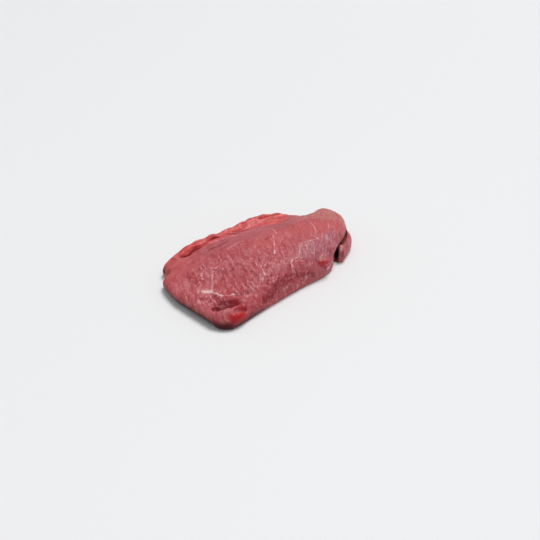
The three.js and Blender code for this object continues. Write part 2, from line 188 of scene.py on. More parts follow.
def nearest(line, x, y):   # distance to the line, share of its length passed, and signed offset
    best = np.full(x.shape, 1e9)
    along, offset = np.zeros(x.shape), np.zeros(x.shape)
    steps = np.diff(line, axis=0)
    lengths = np.hypot(steps[:, 0], steps[:, 1])
    passed = np.concatenate([[0], np.cumsum(lengths)])
    for (ax, ay), (rx, ry), length, before in zip(line, steps, lengths, passed):
        t = np.clip(((x - ax) * rx + (y - ay) * ry) / length**2, 0, 1)
        distance = np.hypot(x - ax - t * rx, y - ay - t * ry)
        isLeft = rx * (y - ay) - ry * (x - ax) > 0
        closer = distance < best
        best = np.where(closer, distance, best)
        along = np.where(closer, (before + t * length) / passed[-1], along)
        offset = np.where(closer, np.where(isLeft, distance, -distance), offset)
    return Near(best, along, offset)


def isInside(line, x, y):
    inside = np.zeros(x.shape, bool)
    for (ax, ay), (bx, by) in zip(line, line[1:]):
        if ay != by:
            inside ^= ((ay > y) != (by > y)) & (x < (bx - ax) * (y - ay) / (by - ay) + ax)
    return inside


def taperAt(along):   # 0 at both ends of a line, 1 at its middle
    return np.sqrt(4 * along * (1 - along))


outline = smoothLine(outlinePoints, True, samplesPerSpan["outline"])
flapLine = openLine(flapPoints, "flap")
creviceLine = openLine(crevicePoints, "flap")


def furrowCut(x, y, furrow):   # depth of a furrow less its lip
    near = nearest(openLine(furrow["points"], "furrow"), x, y)
    taper = taperAt(near.along)
    endWidth = furrowShape["endWidth"]
    halfWidth = furrow["width"] * (endWidth + (1 - endWidth) * taper)
    groove = furrow["depth"] * taper * np.exp(-(near.distance / halfWidth)**furrowShape["steepness"])
    crest = (near.distance - furrowShape["lipPlace"] * halfWidth) / (furrowShape["lipHalfWidth"] * halfWidth)
    return groove - (near.offset > 0) * furrow["lip"] * taper * np.exp(-crest**2)


def topHeight(x, y, depthIn):
    f = form
    height = f["middleHeight"] - f["thinEnd"]["drop"] * ramp(f["thinEnd"]["x"], x)
    height = height - f["tornSide"]["drop"] * ramp(f["tornSide"]["y"], y) * ramp(f["tornSide"]["x"], x)
    for swelling in (f["lobe"], f["nearCorner"]):
        height = height + swelling["rise"] * bell(x, y, swelling)
    for waves in (f["longRipple"], f["shortRipple"]):
        height = height + waves["height"] * ripple(x, y, waves)
    rim, ragged = f["rim"], f["rimRagged"]
    alongRim = ramp(rim["y"], y) * ramp(rim["thinEndX"], x) * ramp(rim["lobeX"], x)
    strip = alongRim * np.exp(-((depthIn - rim["depthIn"]) / rim["halfWidth"])**2)
    height = height + strip * (rim["swell"] + ragged["height"] * ripple(x * ragged["stretch"], y, ragged))
    for furrow in furrows:
        height = height - furrowCut(x, y, furrow)
    for pocket in pockets:
        height = height - pocket["depth"] * bell(x, y, pocket)
    return height


def columnsAt(x, y):   # all that depends only on the place seen from above
    f = form
    fromOutline = nearest(outline, x, y).distance
    depthIn = np.where(isInside(outline, x, y), fromOutline, -fromOutline)
    front, curled, lip = f["frontShoulder"], f["curledEnd"], f["lip"]
    flap, crevice = f["flap"], f["crevice"]
    shoulder = ramp(front["y"], y) * ramp(front["thinEndX"], x) * ramp(front["lobeX"], x)
    curl = ramp(curled["x"], x) * ramp(curled["nearY"], y) * ramp(curled["farY"], y)
    lessRound = (f["thinEndWall"]["lessRound"] * ramp(f["thinEndWall"]["x"], x) + curled["lessRound"] * curl
                 + f["tornWall"]["lessRound"] * ramp(f["tornWall"]["y"], y)
                 + f["lobeWall"]["lessRound"] * ramp(f["lobeWall"]["x"], x))
    toFlap, toCrevice = nearest(flapLine, x, y), nearest(creviceLine, x, y)
    overFlap = ramp(lip["reach"], toFlap.distance)
    lifted = lip["lift"] * overFlap + f["farTip"]["lift"] * bell(x, y, f["farTip"]) + curled["lift"] * curl
    return {
        "depthIn": depthIn,
        "top": topHeight(x, y, depthIn),
        "roundReach": f["edgeRound"] + front["moreRound"] * shoulder - lessRound,
        "belly": f["bellyHeight"] + lifted,
        "drawIn": f["bellyDrawIn"] + lip["drawIn"] * overFlap + curled["drawIn"] * curl,
        "flapAcross": toFlap.distance / (flap["halfWidth"] - flap["thinning"] * toFlap.along),
        "flapTop": flap["height"] - flap["falling"] * toFlap.along,
        "creviceAcross": toCrevice.distance / (crevice["halfWidth"] - crevice["thinning"] * toCrevice.along),
        "creviceUp": ramp(crevice["along"], toCrevice.along),
    }


def fieldAt(z, depthIn, top, roundReach, belly, drawIn, flapAcross, flapTop, creviceAcross, creviceUp):
    # above 0 inside the meat, 0 on its skin
    pastFloor, flap, crevice = form["roundedPastFloor"], form["flap"], form["crevice"]
    isUpper = z > belly
    tall = np.where(isUpper, np.maximum(top - belly, form["leastAboveBelly"]), belly + pastFloor)
    reach = np.where(isUpper, roundReach, drawIn)
    fromEdge = np.maximum(reach - depthIn, 0) / reach
    slab = (1 - np.hypot(fromEdge, (z - belly) / tall)) * tall
    flapUp = np.abs((z + pastFloor) / ((flapTop + pastFloor) / 2) - 1)
    square = flap["squareness"]
    lying = (1 - (flapAcross**square + flapUp**square)**(1 / square)) * flap["firmness"]
    midHeight = crevice["midHeight"] + crevice["rise"] * creviceUp
    halfHeight = crevice["halfHeight"] - crevice["flattening"] * creviceUp
    gap = (1 - np.hypot(creviceAcross, (z - midHeight) / halfHeight)) * crevice["firmness"]
    return np.minimum(np.maximum(slab, lying), -gap)


def skinHeight(x, y):   # where the upper skin lies above a place
    column = columnsAt(x, y)
    belly, reach = column["belly"], column["roundReach"]
    fromEdge = np.clip((reach - column["depthIn"]) / reach, 0, 1)
    return belly + np.maximum(column["top"] - belly, form["leastAboveBelly"]) * np.sqrt(1 - fromEdge**2)


def strandLines():   # centre lines in space, and half thickness
    lines = [(openLine(points, "strand"), thick) for points, thick in knobs]
    for points, thick in strands:
        line = openLine(points, "strand")
        height = skinHeight(line[:, 0], line[:, 1]) - strandShape["sink"] * thick
        lines.append((np.column_stack([line, height]), thick))
    return lines


def nearTo(points, line, margin):   # which points lie in the line's box, widened by the margin
    return np.all((points > line.min(0) - margin) & (points < line.max(0) + margin), axis=1)


def toSegment(points, a, b):   # share of the segment passed, and distance from it
    step = b - a
    t = np.clip((points - a) @ step / (step @ step), 0, 1)
    return t, np.linalg.norm(points - a - t[:, None] * step, axis=1)


def capsule(points, line, thick):   # above 0 inside a strand that tapers to its ends
    best = np.full(len(points), -1e9)
    endThickness = strandShape["endThickness"]
    for i, (a, b) in enumerate(zip(line, line[1:])):
        t, distance = toSegment(points, a, b)
        radius = thick * (endThickness + (1 - endThickness) * taperAt((i + t) / (len(line) - 1)))
        best = np.maximum(best, radius - distance)
    return best


def withStrands(field, points, lines):   # joins the strands to the field, rounded where they meet
    melt, margin = strandShape["melt"], 2
    for line, thick in lines:
        near = nearTo(points, line, thick + margin)
        if near.any():
            a, b = field[near], capsule(points[near], line, thick)
            field[near] = np.maximum(a, b) + np.maximum(melt - np.abs(a - b), 0)**2 / (4 * melt)
    return field


def softenHips(depthIn, cell):   # blurs the creases that the distance has where two sides meet
    blurred = np.pad(depthIn, 1, mode="edge")
    for _ in range(int(2 * (form["hipBlur"] / cell)**2)):
        for axis in (0, 1):
            blurred = blurred / 2 + (np.roll(blurred, 1, axis) + np.roll(blurred, -1, axis)) / 4
    return depthIn + (blurred[1:-1, 1:-1] - depthIn) * ramp(form["hipDepth"], depthIn)


def blendColumns(columns, x0, y0, cell, px, py):   # columns between the grid's, by linear blending
    across, deep = columns["top"].shape
    u, v = (px - x0) / cell, (py - y0) / cell
    i = np.clip(np.floor(u).astype(int), 0, across - 2)
    j = np.clip(np.floor(v).astype(int), 0, deep - 2)
    u, v = u - i, v - j
    return {name: c[i, j] * (1 - u) * (1 - v) + c[i + 1, j] * u * (1 - v)
            + c[i, j + 1] * (1 - u) * v + c[i + 1, j + 1] * u * v for name, c in columns.items()}


def skinOfForm():   # corners and four-sided faces of the form's skin
    cell = form["cell"]
    x, y, z = [np.arange(low, high, cell) for low, high in zip(form["gridLow"], form["gridHigh"])]
    columns = columnsAt(*np.meshgrid(x, y, indexing="ij"))
    columns["depthIn"] = softenHips(columns["depthIn"], cell)
    field = fieldAt(z[None, None, :], **{name: column[..., None] for name, column in columns.items()})
    lines = strandLines()
    places = np.stack(np.meshgrid(x, y, z, indexing="ij"), -1).reshape(-1, 3)
    field = withStrands(field.ravel(), places, lines).reshape(field.shape)
    corners, faces = surfaceNet(x, y, z, field)

    def value(points):
        here = blendColumns(columns, x[0], y[0], cell, points[:, 0], points[:, 1])
        return withStrands(fieldAt(points[:, 2], **here), points, lines)

    for _ in range(form["settlePasses"]):
        corners = settle(corners, value)
    corners[:, 2] = np.maximum(corners[:, 2], 0)
    return corners, faces


def settle(corners, value):   # moves each corner along the slope onto the skin
    step = form["slopeStep"]
    slope = np.stack([value(corners + step * e) - value(corners - step * e) for e in np.eye(3)], 1)
    slope /= 2 * step
    move = -(value(corners) / ((slope**2).sum(1) + form["settleEase"]))[:, None] * slope
    furthest = form["settleReach"] * form["cell"]
    return corners + move * np.minimum(1, furthest / np.maximum(np.linalg.norm(move, axis=1), 1e-9))[:, None]


def surfaceNet(x, y, z, field):
    # a corner in each grid cell the skin passes through, and a face across each grid edge that it cuts
    inside = field > 0
    cells = tuple(n - 1 for n in field.shape)
    count = np.zeros(cells, int)
    for a, b, c in np.ndindex(2, 2, 2):
        count += inside[a:cells[0] + a, b:cells[1] + b, c:cells[2] + c]
    crossed = (count > 0) & (count < 8)
    number = np.full(cells, -1)
    number[crossed] = np.arange(crossed.sum())
    home = np.stack(np.nonzero(crossed), 1)
    low = np.stack([axis[n] for axis, n in zip((x, y, z), home.T)], 1)
    return low + cutPlaces(field, home) * (x[1] - x[0]), netFaces(inside, number)


def cutPlaces(field, home):   # middle of the places where the skin cuts a cell's edges, in cells
    total, hits = np.zeros(home.shape), np.zeros(len(home))
    for axis in range(3):
        others = [n for n in range(3) if n != axis]
        for a, b in np.ndindex(2, 2):
            start = home.copy()
            start[:, others] += (a, b)
            end = start.copy()
            end[:, axis] += 1
            before, after = field[tuple(start.T)], field[tuple(end.T)]
            cut = (before > 0) != (after > 0)
            place = (start - home).astype(float)
            place[:, axis] = before / np.where(cut, before - after, 1)
            total[cut] += place[cut]
            hits[cut] += 1
    return total / hits[:, None]


def netFaces(inside, number):
    faces = []
    for axis in range(3):
        sides = [(axis + 1) % 3, (axis + 2) % 3]
        first, last = [slice(None)] * 3, [slice(None)] * 3
        first[axis], last[axis] = slice(0, -1), slice(1, None)
        starts = np.stack(np.nonzero(inside[tuple(first)] != inside[tuple(last)]), 1)
        around = []
        for a, b in ((-1, -1), (0, -1), (0, 0), (-1, 0)):
            cell = starts.copy()
            cell[:, sides] += (a, b)
            around.append(number[tuple(cell.T)])
        around = np.stack(around, 1)
        entering = ~inside[tuple(starts.T)]
        around[entering] = around[entering][:, ::-1]
        faces.append(around)
    return np.concatenate(faces)


# Where each look lies on the piece, in the form's millimetres: first the broad ones
zones = {
    "haze": [{"at": (20, -38), "size": (24, 10)}, {"at": (42, -34), "size": (13, 8), "turn": 30}],
    "milky": [
        {"at": (-38, -36), "size": (36, 14)}, {"at": (-60, 2), "size": (13, 20), "turn": 25},
        {"at": (-80, -22), "size": (9, 14)}, {"at": (-80, -42), "size": (9, 8)},
    ],
    "calm": [
        {"at": (-70, 28), "size": (17, 16)}, {"at": (40, -12), "size": (30, 13), "turn": -25},
        {"at": (0, -2), "size": (14, 10)},
    ],
}
# places that a line with a thickness marks: points, reach, strength
marks = {
    "fatPatch": [
        ([(-76.4, -13.8, 11.5), (-75.4, -16.2, 11.5), (-73.8, -18.4, 11.6)], 1.9, 1),
        ([(-77, -12.5, 11.5), (-73.5, -19, 11.6)], 4.5, 0.3),
        ([(-73.2, -20.2, 11.5), (-72.3, -24, 11.7), (-71.8, -28, 11.8)], 0.9, 0.8),
        ([(-72, -26.4, 11.8), (-71.8, -28.2, 11.8)], 1.3, 0.8),
        ([(-66.5, -32.5, 13), (-66.3, -34.7, 13.4)], 1.1, 0.6), ([(-81, -18, 11), (-77, -19, 11)], 3, 0.25),
        ([(-10.5, -20, 21.2), (-13.8, -22.9, 21.2)], 0.9, 0.8),
        ([(31, -28.2, 20.7), (29, -30, 20.7)], 1, 0.7), ([(1.9, -43.9, 15.3), (0.9, -45.5, 14)], 1.1, 0.7),
        ([(-10, -38, 19.7), (-12, -39, 18.8)], 1, 0.7),
        ([(-35.3, -31.7, 19.2), (-38.5, -37.5, 18.4)], 0.8, 0.7),
        ([(-25, 0, 20.7), (-30, -5, 20.5)], 2, 0.2), ([(-17.2, -49.4, 3.2), (-16, -49.2, 5.2)], 1.2, 0.5),
        ([(-32.1, -49, 7.1), (-27.5, -48.7, 8.3)], 1.8, 0.4),
        ([(-10.3, -49.2, 6.2), (-6.5, -48.8, 7.9)], 2, 0.35),
        ([(-13.4, -39.6, 19.1), (-14.4, -42.6, 16.4), (-14.6, -44.8, 13.1)], 1, 0.5),
        ([(17, -43.7, 15.5), (14, -45.2, 14.5)], 1.5, 0.5),
        ([(14.2, -31.1, 21.6), (9.7, -35.7, 20.8)], 1, 0.6),
        ([(27.4, -47.5, 7.8), (22, -49.2, 6.4), (17.5, -50.2, 5.6)], 1, 0.7),
        ([(45, -42.8, 10), (48, -41, 10.8), (51, -39.5, 10.8)], 2.2, 0.35),
        ([(39.5, -45.5, 6.5), (40.5, -46.5, 3.5)], 1.4, 0.3),
    ],
    "deepRed": [
        ([(-80.5, -23, 10.8), (-82, -28, 10.8), (-81.8, -33, 10.8)], 1.3, 0.8),
        ([(-74.5, -22, 11.2), (-75, -25.7, 11.1), (-76, -31, 11.3)], 2.6, 1),
        ([(-64.8, -35.2, 13.6), (-62.6, -38, 14), (-57, -40.6, 14.4)], 2.6, 0.8),
        ([(-50.4, -48.9, 7.8), (-47.1, -48.5, 8.6), (-42, -47.6, 10)], 3.2, 0.9),
        ([(-38.2, -46.9, 11.4), (-33.8, -47.6, 10.6), (-32.7, -45.6, 12.6),
          (-28, -46.1, 12.5), (-21.2, -45.8, 12.9)], 3.4, 1),
        ([(-14.1, -46.3, 11.8), (-9, -47.5, 10.5), (-3.9, -48.5, 9.3), (1.6, -49.9, 6.7)], 2.2, 0.9),
        ([(-21.2, -45.8, 12.9), (-14.1, -46.3, 11.8)], 2.4, 0.7),
        ([(9, -46.3, 13.7), (11.4, -48.4, 11.8), (14.9, -49.8, 8.3)], 1.8, 0.9),
        ([(-2.1, -0.8, 20.7), (6.4, -0.9, 21.1)], 1, 0.6), ([(0.9, 27.2, 19.2), (2.3, 24, 19.6)], 1.5, 0.7),
        ([(43, -45.3, 8.3), (42.4, -45.6, 6.8)], 2, 1), ([(-55, -6, 17), (-50, -14, 18)], 3.5, 0.4),
    ],
    # painted shade in the recesses at the near corner, on the front shoulder and at the far tip
    "pocket": [
        ([(-78, -34.5, 10.4), (-74.1, -37.5, 10.6), (-70, -41.5, 11)], 3.8, 0.8),
        ([(-84.6, -34.5, 9.8), (-80.5, -38, 9.7), (-76, -41.5, 10.2), (-70, -45, 10.8)], 2, 1),
        ([(-76, -46.6, 10), (-72.5, -47.1, 10.1), (-69.5, -48.4, 9)], 2.2, 0.75),
        ([(-14.4, -46.3, 12), (-13.5, -47.4, 11.4)], 1.3, 0.6), ([(-73.5, 38, 6), (-74, 37, 5)], 1.4, 1),
    ],
    "wet": [
        ([(-76.5, -44.6, 11.4), (-73, -46, 11.2), (-69.5, -47, 11)], 2.2, 0.45),
        ([(-68, -44, 12.3), (-70, -41, 11.8)], 2.4, 0.25),
        ([(-80.5, -49.3, 7.5), (-77, -50.5, 7), (-73.5, -51, 6)], 3.8, 1),
        ([(12, -48.6, 12.1), (16.8, -49.6, 11.1), (22, -49, 9.8)], 2.8, 0.9),
    ],
}
# shares of a mark's reach where it begins and where it is full
markFade = (1.5, 0.3)
# lower edge of the torn strip
tornEdge = [
    (-66, 38), (-58, 35), (-48, 31), (-36, 28), (-26, 27), (-8, 26.5), (3, 26.5), (14, 23), (24, 15),
    (34, 13.5), (46, 17),
]
# front edge of the lobe's browner cap
capEdge = [(36, 14), (43, 5), (51, -1), (57, -6), (61, -12), (66, -17), (71, -21), (74, -27)]
# middle of the greyish band below the torn strip, partly silverskin and partly a painted sheen
greyLine = [(-44, 22), (-26, 18), (-11, 15), (1, 14), (15, 12), (31, 8), (44, 10), (54, 14), (62, 10)]
greyHalfWidth = 6
# how far the edge of the lengthwise rows turns away from the x axis
rowLean = 0.12
# looks that fade in along measures of the place: measure, where it begins, where it is full
fades = {
    "haze": [("y", -25, -29)],
    "pocket": [("z", 1, 4)],
    "lobeCap": [("pastCapEdge", -4, 5), ("x", 42, 62)],
    "blotchy": [("y", -30, -42), ("x", 70, 40)],
    "rowFibres": [("rowDepth", 2, 14)],
    "tornRim": [("pastTornEdge", -2, 2.5), ("x", -76, -60), ("x", 54, 40)],
    # pale fringe along the far top edge, partly a thin film and partly a painted highlight
    "paleEdge": [("depthIn", 4.5, 2), ("y", 20, 30), ("z", 7, 10), ("x", 2, -10), ("x", -74, -62)],
    # painted shade in the crevice between the slab and the flap
    "crevice": [("creviceAcross", 2.2, 0.9), ("z", 12, 8), ("creviceAlong", 0.1, 0.26),
                ("creviceAlong", 0.62, 0.4)],
    # painted shade, browner and lighter, in the recess below the lobe's lip above the crevice
    "hollowShade": [("creviceAcross", 4.5, 1.5), ("z", 17, 10), ("creviceAlong", 0.35, 0.6)],
    # painted shade below the lip at the thin end and at the near corner
    "shadeUnderThinEnd": [("z", 8, 3.5), ("x", -76, -85), ("y", 34, 24)],
    "shadeUnderNearCorner": [("z", 7, 0), ("x", -44, -62), ("y", -40, -48)],
}
# how deep into a furrow its painted shade begins and is full, and where the greyish band gives way to it
cutFade = {"farCut": (0.05, 0.7), "pocket": (0.1, 0.8), "greyBand": (0, 0.3)}
# thin fat lines: points, half width, strength
veins = [
    ([(-72.7, -18.9), (-70.5, -15.9), (-67.2, -12.9), (-64, -9), (-61.4, -6.2)], 1, 0.5),
    ([(-71.8, -28), (-70.1, -30.7), (-69.3, -33.1), (-66.4, -33.5)], 0.8, 0.65),
    ([(16.8, 10.3), (15.8, 5), (13.2, 0.1)], 0.5, 0.9),
    ([(8.7, 0.7), (4.4, -4.7), (-0.5, -10.2), (-8.6, -18.2), (-13.8, -22.9)], 0.5, 0.8),
    ([(10.9, -3.8), (7.7, -8.9), (1.4, -14.5)], 0.35, 0.6),
    ([(-5.1, -22.2), (-11.5, -30.3), (-14.8, -34.2)], 0.4, 0.6),
    ([(20.1, 0), (20, -4.9), (18.1, -11.9)], 0.4, 0.5),
    ([(10.5, -26.7), (5.7, -31.6), (-0.1, -35.8), (-3.9, -38.1),
      (-9.7, -37.9), (-12.9, -39.5), (-16.3, -43.9)], 0.55, 0.8),
    ([(47, -8), (45.6, -10.9), (42.8, -15.8), (37, -22.1)], 0.55, 0.8),
    ([(29.7, -29.1), (20, -29.6), (14.3, -27.6), (10.5, -26.7)], 0.55, 0.6),
    ([(58, -18), (55.8, -19.9), (49.5, -24.3)], 0.45, 0.7),
    ([(17.7, -37.1), (12.1, -40.4), (8.2, -44.2)], 0.45, 0.6),
    ([(-40.1, -13.3), (-36.7, -18.9)], 0.4, 0.5),
    ([(-35.7, -11.5), (-34.2, -16.9)], 0.4, 0.5),
    ([(-38.5, -8.7), (-40.5, -12.4)], 0.5, 0.6),
    ([(-39.7, -1.7), (-41.3, -7.6)], 0.4, 0.4),
    ([(-34, 8), (-30.9, 9.1), (-23.4, 9.9), (-15.4, 9.9)], 0.6, 0.45),
    ([(-50.6, -35.6), (-51.4, -40.1), (-46.2, -42.9), (-41.0, -45)], 0.6, 0.5),
    ([(-77.2, -21.5), (-78.7, -26.3), (-79.8, -31.2)], 0.6, 0.5),
]
veinShape = {"reach": 6, "endWidth": 0.45, "fade": (5, 2.5), "farAway": 9.0}

# the run of the fibres: they lean along the piece, and more so towards the lobe
fibres = {"lean": 0.42, "moreLean": 0.5, "leanX": (-60, 60), "pivotY": -10, "perHeight": 0.6, "passes": 6}


def fibreCoordinates(points):   # u counts across the fibres and v along them
    x, y, z = points.T
    fromPivot = y - fibres["pivotY"]
    u = x
    for _ in range(fibres["passes"]):
        lean = fibres["lean"] + fibres["moreLean"] * ramp(fibres["leanX"], u)
        u = x - lean * fromPivot
    return np.stack([u, fromPivot * np.hypot(1, lean) - z, fibres["perHeight"] * z], 1)


def patchShare(x, y, patches):
    return np.max([bell(x, y, patch) for patch in patches], axis=0)


def markShare(points, entries):
    total = np.zeros(len(points))
    for line, reach, strength in entries:
        path = openLine(line, "mark")
        near = nearTo(points, path, 2 * reach)
        distance = np.min([toSegment(points[near], a, b)[1] for a, b in zip(path, path[1:])], axis=0)
        total[near] = np.maximum(total[near], strength * ramp(markFade, distance / reach))
    return total


def cutShare(x, y, look):   # how deep a place lies in the furrows that take this look
    return sum(np.maximum(furrowCut(x, y, furrow), 0) / furrow["depth"]
               for furrow in furrows if furrow.get("look") == look)


def veinShares(x, y):   # offset from the closest fat line in its half widths, and its strength
    offset, strength = np.full(x.shape, veinShape["farAway"]), np.zeros(x.shape)
    endWidth = veinShape["endWidth"]
    for line, halfWidth, share in veins:
        path = openLine(line, "vein")
        near = nearTo(np.stack([x, y], 1), path, veinShape["reach"])
        found = nearest(path, x[near], y[near])
        scaled = found.offset / (halfWidth * (endWidth + (1 - endWidth) * taperAt(found.along)))
        closer = np.abs(scaled) < np.abs(offset[near])
        offset[near] = np.where(closer, scaled, offset[near])
        strength[near] = np.where(closer, share * ramp(veinShape["fade"], found.distance), strength[near])
    return offset, strength


def measuresAt(points):   # what the looks fade along
    x, y, z = points.T
    columns = columnsAt(x, y)
    return {
        "x": x, "y": y, "z": z, "rowDepth": y + rowLean * x,
        "depthIn": columns["depthIn"],
        "creviceAcross": columns["creviceAcross"],
        "creviceAlong": nearest(creviceLine, x, y).along,
        "pastTornEdge": nearest(openLine(tornEdge, "edge"), x, y).offset,
        "pastCapEdge": nearest(openLine(capEdge, "edge"), x, y).offset,
    }


def zoneShares(points):
    x, y, _ = points.T
    shares = {name: patchShare(x, y, patches) for name, patches in zones.items()}
    shares.update({name: markShare(points, entries) for name, entries in marks.items()})
    # painted shade in the far furrows and in the near corner's furrow, by how deep a place lies in them
    farCut, nearCut = cutShare(x, y, "farCut"), cutShare(x, y, "pocket")
    shares["farCut"] = ramp(cutFade["farCut"], farCut)
    shares["pocket"] = np.maximum(shares["pocket"], 0.9 * ramp(cutFade["pocket"], nearCut))
    # greyish band, partly silverskin and partly a painted sheen
    fromGreyLine = nearest(openLine(greyLine, "edge"), x, y).distance
    shares["greyBand"] = np.exp(-(fromGreyLine / greyHalfWidth)**2) * (1 - ramp(cutFade["greyBand"], farCut))
    measures = measuresAt(points)
    for name, spans in fades.items():
        shares.setdefault(name, np.ones(len(points)))
        for measure, start, end in spans:
            shares[name] *= ramp((start, end), measures[measure])
    # painted shade below the lip
    shares["shadeUnderLip"] = np.maximum(shares.pop("shadeUnderThinEnd"), shares.pop("shadeUnderNearCorner"))
    shares["veinOffset"], shares["veinStrength"] = veinShares(x, y)
    return shares


def makeSteakMesh():
    corners, faces = skinOfForm()
    mesh = bpy.data.meshes.new("beefTopBlade")
    centre = (corners.min(0) + corners.max(0)) / 2
    centre[2] = 0
    mesh.from_pydata(((corners - centre) / 1000).tolist(), [], faces.tolist())
    mesh.shade_smooth()
    fibre = mesh.attributes.new("fibre", "FLOAT_VECTOR", "POINT")
    fibre.data.foreach_set("vector", fibreCoordinates(corners).ravel())
    for name, share in zoneShares(corners).items():
        mesh.attributes.new(name, "FLOAT", "POINT").data.foreach_set("value", share)
    print(f"meat skin: {len(corners)} corners, {len(faces)} faces, centre {centre.round(2)}")
    steak = bpy.data.objects.new("beefTopBlade", mesh)
    bpy.context.scene.collection.objects.link(steak)
    return steak, centre


# small helpers for node trees
def addNode(tree, kind, inputs=None, **settings):
    node = tree.nodes.new(kind)
    for name, value in settings.items():
        setattr(node, name, value)
    for key, value in (inputs or {}).items():
        if isinstance(value, bpy.types.NodeSocket):
            tree.links.new(value, node.inputs[key])
        else:
            node.inputs[key].default_value = value
    return node


def calc(operation, a, b=0.0, clamp=False):   # a or b is a socket, whose tree takes the new node
    tree = (a if isinstance(a, bpy.types.NodeSocket) else b).id_data
    return addNode(tree, "ShaderNodeMath", {0: a, 1: b}, operation=operation, use_clamp=clamp).outputs[0]


def times(first, *others):
    for other in others:
        first = calc("MULTIPLY", first, other)
    return first


def plus(a, b):
    return calc("ADD", a, b)


def minus(a, b):
    return calc("SUBTRACT", a, b)


def larger(a, b):
    return calc("MAXIMUM", a, b)


def rise(value, low, high, bottom=0.0, top=1.0):   # smooth step between two values
    inputs = {"Value": value, "From Min": low, "From Max": high, "To Min": bottom, "To Max": top}
    return addNode(value.id_data, "ShaderNodeMapRange", inputs, interpolation_type="SMOOTHSTEP").outputs[0]


def blend(share, a, b):   # socket a where the share is 0, b where it is 1
    return addNode(a.id_data, "ShaderNodeMix", {"Factor": share, "A": a, "B": b}).outputs[0]


def vectorCalc(operation, a, b):
    return addNode(a.id_data, "ShaderNodeVectorMath", {0: a, 1: b}, operation=operation).outputs[0]


def stretch(vector, factors):
    return vectorCalc("MULTIPLY", vector, factors)


def inMillimetres(place):
    return stretch(place, (1000, 1000, 1000))


def noiseNode(vector, detail, roughness):
    inputs = {"Vector": vector, "Scale": 1.0, "Detail": detail, "Roughness": roughness}
    return addNode(vector.id_data, "ShaderNodeTexNoise", inputs)


# the factors say how often a noise varies in a millimetre, along each axis
def noise(vector, factors, detail, roughness=0.55):
    return noiseNode(stretch(vector, factors), detail, roughness).outputs[0]


def evenNoise(vector, factor, detail, roughness=0.55):
    return noise(vector, (factor, factor, factor), detail, roughness)


def swayOf(placeMm, factor, detail):   # slow noise vector about 0
    slow = noiseNode(stretch(placeMm, (factor, factor, factor)), detail, 0.5)
    return vectorCalc("SUBTRACT", slow.outputs["Color"], (0.5, 0.5, 0.5))


def swing(vector, sway, reach):   # the vector pushed about by a sway
    return vectorCalc("ADD", vector, stretch(sway, reach))


# Relief of the muscle: bundles of fibres, fine grain, pebbled cut ends and the torn rim
relief = {
    "Bundle Width": 3.0, "Bundle Length": 15.0, "Bundle Depth": 0.9, "Grain Depth": 0.7,
    "Pebble Size": 2.4, "Pebble Depth": 0.4, "Torn Size": 2.9, "Torn Depth": 1.15, "Vein Rise": 0.18,
}


def attributeOf(tree, name, kind="FLOAT"):
    return addNode(tree, "GeometryNodeInputNamedAttribute", {"Name": name}, data_type=kind).outputs[0]


def inSizes(vector, sizes):
    size = addNode(vector.id_data, "ShaderNodeCombineXYZ", dict(enumerate(sizes))).outputs[0]
    return vectorCalc("DIVIDE", vector, size)


def sizedNoise(vector, sizes, roughness=0.5):   # noise about 0
    return minus(noiseNode(inSizes(vector, sizes), 2, roughness).outputs[0], 0.5)


def pebbleRelief(placeMm, size):
    inputs = {"Vector": inSizes(placeMm, (size, size, size)), "Scale": 1.0, "Smoothness": 0.8}
    cells = addNode(placeMm.id_data, "ShaderNodeTexVoronoi", inputs, feature="SMOOTH_F1")
    return rise(cells.outputs["Distance"], 0.1, 0.7, 0.5, -0.5)


def reliefHeight(tree, given, placeMm):   # all the relief, in millimetres
    torn, haze, milky, calm = [attributeOf(tree, name) for name in ("tornRim", "haze", "milky", "calm")]
    fibre = attributeOf(tree, "fibre", "FLOAT_VECTOR")
    swung = swing(fibre, swayOf(placeMm, 0.08, 1.0), (7, 7, 2))
    width, length, tornSize = given["Bundle Width"], given["Bundle Length"], given["Torn Size"]
    leaning = sizedNoise(swung, (width, length, width))
    lengthwise = sizedNoise(placeMm, (length, width, width))
    bundle = blend(attributeOf(tree, "rowFibres"), leaning, lengthwise)
    grain = minus(noise(swung, (0.8, 0.16, 0.4), 2, 0.5), 0.5)
    pebble = pebbleRelief(placeMm, given["Pebble Size"])
    shreds = sizedNoise(placeMm, (times(tornSize, 2.6), tornSize, tornSize), 0.55)
    beads = minus(evenNoise(placeMm, 0.42, 1, 0.5), 0.5)
    veinLine = rise(calc("ABSOLUTE", attributeOf(tree, "veinOffset")), 1.6, 0.3)

    lively = minus(1.0, larger(torn, times(calm, 0.75)))
    marbled = larger(times(haze, 0.6), times(milky, 0.8))
    rough = times(lively, plus(0.3, marbled))
    smoothed = larger(attributeOf(tree, "blotchy"), attributeOf(tree, "pocket"))
    bundled = minus(lively, times(smoothed, 0.6))
    parts = [
        (bundle, "Bundle Depth", bundled),
        (grain, "Grain Depth", rough),
        (pebble, "Pebble Depth", rough),
        (plus(shreds, times(beads, 0.45)), "Torn Depth", torn),
        (veinLine, "Vein Rise", attributeOf(tree, "veinStrength")),
    ]
    total = 0.0
    for shape, depth, share in parts:
        total = plus(total, times(shape, given[depth], share))
    return total


